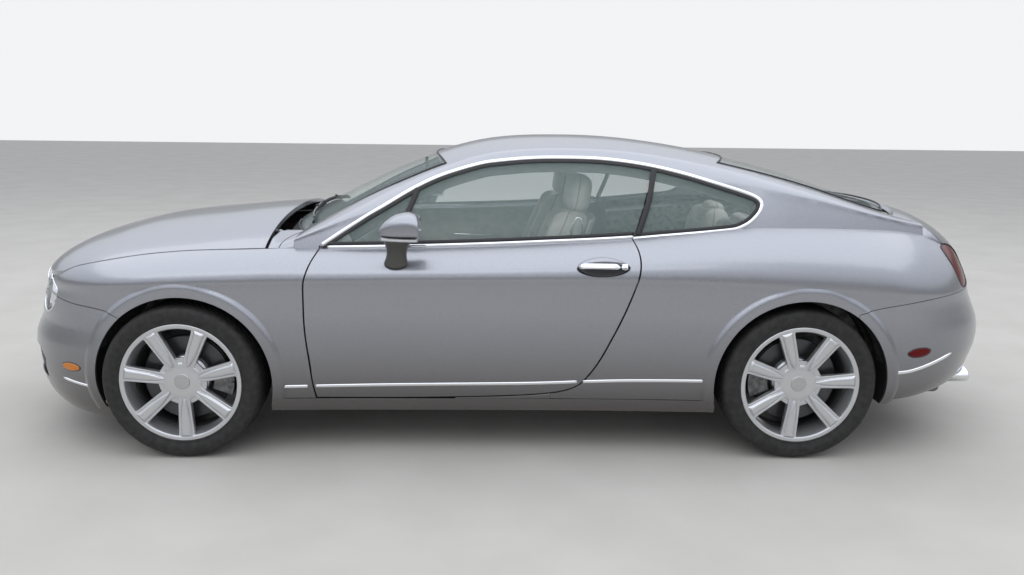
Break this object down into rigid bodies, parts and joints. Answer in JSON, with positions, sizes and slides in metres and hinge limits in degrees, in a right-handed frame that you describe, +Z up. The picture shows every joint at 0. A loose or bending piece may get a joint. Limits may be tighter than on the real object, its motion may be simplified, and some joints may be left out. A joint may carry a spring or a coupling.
{
  "type": "grand touring coupe car",
  "caption": "Full-size two-door grand touring coupe with turning wheels, steering, doors, bonnet and boot lid that open, and a hollow cabin.",
  "frame": {"origin": "middle of the car's footprint at ground level", "axes": "-X towards the nose, -Y towards the car's left side, +Z up"},
  "size_m": [4.756, 2.1, 1.41],
  "materials": {
    "paint": "metallic silver lacquer",
    "glass": "lightly tinted glass",
    "lamp": "clear lamp cover",
    "red_lamp": "red lamp cover",
    "chrome": "bright",
    "tyre": "black rubber",
    "wheel": "silver lacquered alloy",
    "iron": "bare and coated metal",
    "leather": "light grey leather",
    "trim": "dark trim",
    "under": "dark underbody coating"
  },
  "bodies": {
    "car_body": {"apron_left": "under", "apron_right": "under", "boot_tub": "under", "console": "trim", "cowl": "under", "dashboard": "trim", "engine": "iron", "exhaust": "iron", "firewall": "under", "floor": "under", "front_axle": "iron", "front_bumper": "paint", "front_frame": "under", "grille": "chrome", "headlamp_left": "lamp", "headlamp_right": "lamp", "quarter_glass_left": "paint", "quarter_glass_right": "paint", "quarter_left": "paint", "quarter_right": "paint", "rear_axle": "iron", "rear_bumper": "paint", "rear_seat": "leather", "rear_window": "glass", "roof": "paint", "seat_left": "leather", "seat_right": "leather", "side_inner_left": "under", "side_inner_right": "under", "sill_left": "paint", "sill_right": "paint", "tail_lamp_left": "red_lamp", "tail_lamp_right": "red_lamp", "upper_arm_left": "under", "upper_arm_right": "under", "windscreen": "glass", "wing_left": "paint", "wing_right": "paint"},
    "door_left_leaf": {"door_left": "paint", "door_glass_left": "glass", "mirror_left": "paint", "handle_left": "chrome"},
    "steer_left": {"knuckle_left": "iron"},
    "wheel_front_left": {"rim_front_left": "wheel", "tyre_front_left": "tyre"},
    "wheel_rear_left": {"rim_rear_left": "wheel", "tyre_rear_left": "tyre"},
    "door_right_leaf": {"door_right": "paint", "door_glass_right": "glass", "mirror_right": "paint", "handle_right": "chrome"},
    "steer_right": {"knuckle_right": "iron"},
    "wheel_front_right": {"rim_front_right": "wheel", "tyre_front_right": "tyre"},
    "wheel_rear_right": {"rim_rear_right": "wheel", "tyre_rear_right": "tyre"},
    "bonnet_leaf": {"bonnet": "paint"},
    "boot_leaf": {"boot_lid": "paint"},
    "steering": {"steering_wheel": "trim"}
  },
  "joints": [
    {"name": "steer_left_turn", "type": "hinge", "parent": "car_body", "child": "steer_left", "pos_m": [-1.4525, -0.79, 0.348], "axis": [0, 0, 1], "range_deg": [-32, 32]},
    {"name": "steer_right_turn", "type": "hinge", "parent": "car_body", "child": "steer_right", "pos_m": [-1.4525, 0.79, 0.348], "axis": [0, 0, 1], "range_deg": [-32, 32]},
    {"name": "steering_wheel_turn", "type": "hinge", "parent": "car_body", "child": "steering", "pos_m": [-0.52, -0.37, 0.8], "axis": [0.9063, 0, 0.4226], "range_deg": [-450, 450]},
    {"name": "wheel_front_left_spin", "type": "hinge", "parent": "steer_left", "child": "wheel_front_left", "pos_m": [-1.4525, -0.8115, 0.348], "axis": [0, 1, 0], "continuous": true},
    {"name": "wheel_rear_left_spin", "type": "hinge", "parent": "car_body", "child": "wheel_rear_left", "pos_m": [1.2925, -0.8035, 0.348], "axis": [0, 1, 0], "continuous": true},
    {"name": "door_left_swing", "type": "hinge", "parent": "car_body", "child": "door_left_leaf", "pos_m": [-0.82, -0.89, 0.6], "axis": [0, 0, -1], "range_deg": [0, 60]},
    {"name": "wheel_front_right_spin", "type": "hinge", "parent": "steer_right", "child": "wheel_front_right", "pos_m": [-1.4525, 0.8115, 0.348], "axis": [0, 1, 0], "continuous": true},
    {"name": "wheel_rear_right_spin", "type": "hinge", "parent": "car_body", "child": "wheel_rear_right", "pos_m": [1.2925, 0.8035, 0.348], "axis": [0, 1, 0], "continuous": true},
    {"name": "door_right_swing", "type": "hinge", "parent": "car_body", "child": "door_right_leaf", "pos_m": [-0.82, 0.89, 0.6], "axis": [0, 0, 1], "range_deg": [0, 60]},
    {"name": "bonnet_lift", "type": "hinge", "parent": "car_body", "child": "bonnet_leaf", "pos_m": [-1.08, 0, 0.965], "axis": [0, 1, 0], "range_deg": [0, 45]},
    {"name": "boot_lift", "type": "hinge", "parent": "car_body", "child": "boot_leaf", "pos_m": [1.8, 0, 1.056], "axis": [0, -1, 0], "range_deg": [0, 60]}
  ],
  "couplings": [
    {"joint": "steer_right_turn", "follows": "steer_left_turn", "ratio": 1},
    {"joint": "steering_wheel_turn", "follows": "steer_left_turn", "ratio": 14}
  ]
}
